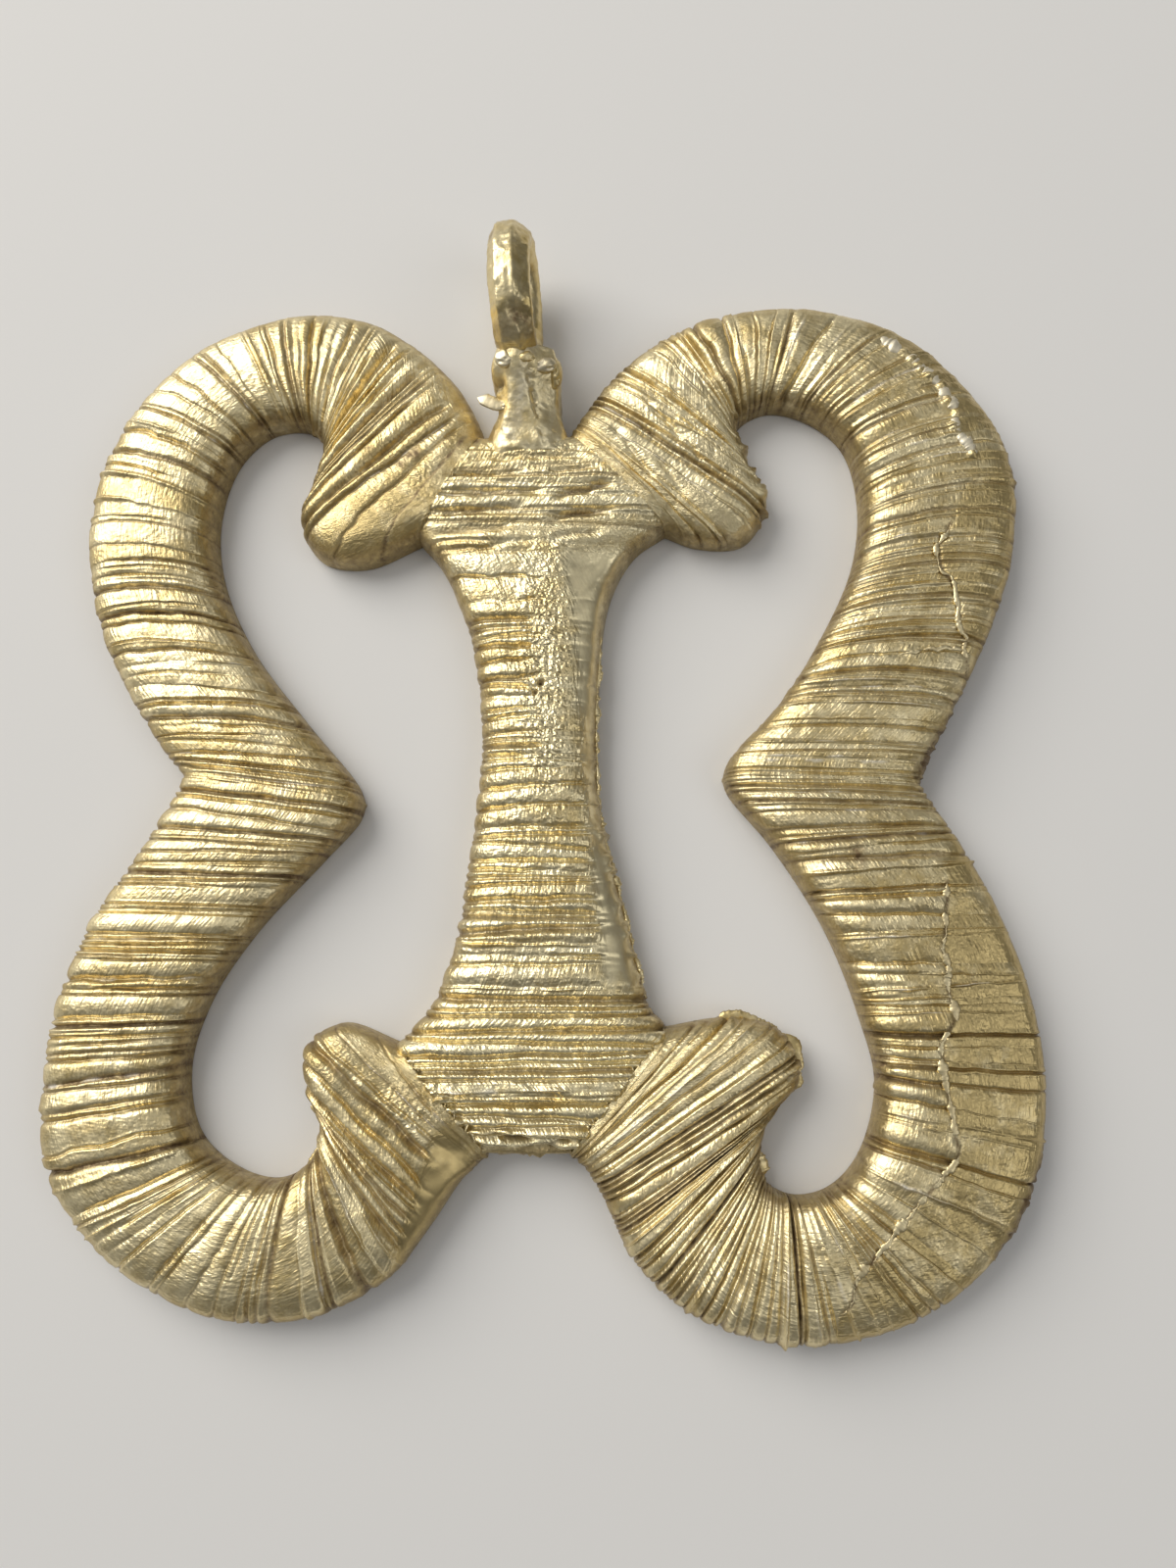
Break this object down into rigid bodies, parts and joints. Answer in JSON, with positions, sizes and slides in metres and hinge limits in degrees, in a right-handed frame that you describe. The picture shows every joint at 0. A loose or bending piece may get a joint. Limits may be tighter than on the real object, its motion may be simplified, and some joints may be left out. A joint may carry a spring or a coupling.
{
  "type": "adinkra pendant",
  "caption": "Cast brass pendant in the shape of four curled ram's horns round a ribbed spool, with a bail ring for a cord. It lies on a flat back.",
  "frame": {"origin": "middle of the centre spool's waist, on the flat back that the pendant lies on", "axes": "+X to the right and +Y towards the bail when the ribbed face is looked at, +Z out of the ribbed face"},
  "size_m": [0.068, 0.0777, 0.0093],
  "materials": {
    "spool_brass": "cast, pale gold, ribbed, lightly burnished on the rib tops",
    "horn_brass": "cast, pale gold, ribbed, brown in the grooves",
    "stem_brass": "cast, filed smooth on top, pitted",
    "ring_brass": "cast, worn smooth and glossy"
  },
  "bodies": {
    "root": {"centre_spool": "spool_brass", "upper_left_horn": "horn_brass", "lower_left_horn": "horn_brass", "upper_right_horn": "horn_brass", "lower_right_horn": "horn_brass", "bail_stem": "stem_brass", "bail_ring": "ring_brass"}
  },
  "joints": []
}
